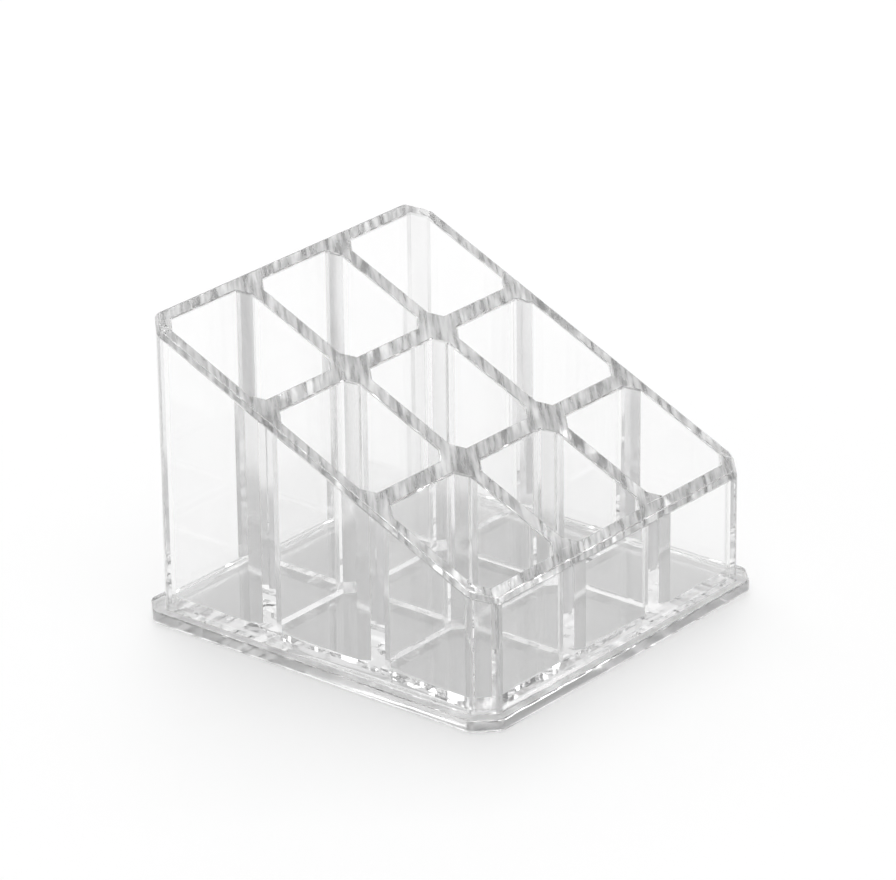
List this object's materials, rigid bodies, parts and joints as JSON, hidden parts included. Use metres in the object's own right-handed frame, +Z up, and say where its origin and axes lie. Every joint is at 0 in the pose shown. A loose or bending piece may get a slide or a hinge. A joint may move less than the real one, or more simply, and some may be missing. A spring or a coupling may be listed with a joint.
{
  "type": "vanity organizer",
  "caption": "Clear open-topped organizer with square upright compartments, a rim that slopes from a high rear to a low front, and a flanged base plate, for standing small tubes on a vanity.",
  "frame": {"origin": "bottom centre of the base plate", "axes": "+Z up, -Y to the low front, +X to the right seen from the front"},
  "size_m": [0.088, 0.089, 0.0637],
  "materials": {
    "clear_acrylic": "polished, transparent, colourless"
  },
  "bodies": {
    "root": {"base_plate": "clear_acrylic", "floor_plate": "clear_acrylic", "front_wall": "clear_acrylic", "rear_wall": "clear_acrylic", "left_wall": "clear_acrylic", "right_wall": "clear_acrylic", "front_left_post": "clear_acrylic", "front_right_post": "clear_acrylic", "rear_left_post": "clear_acrylic", "rear_right_post": "clear_acrylic", "front_cross_divider": "clear_acrylic", "rear_cross_divider": "clear_acrylic", "left_long_divider": "clear_acrylic", "right_long_divider": "clear_acrylic"}
  },
  "joints": []
}
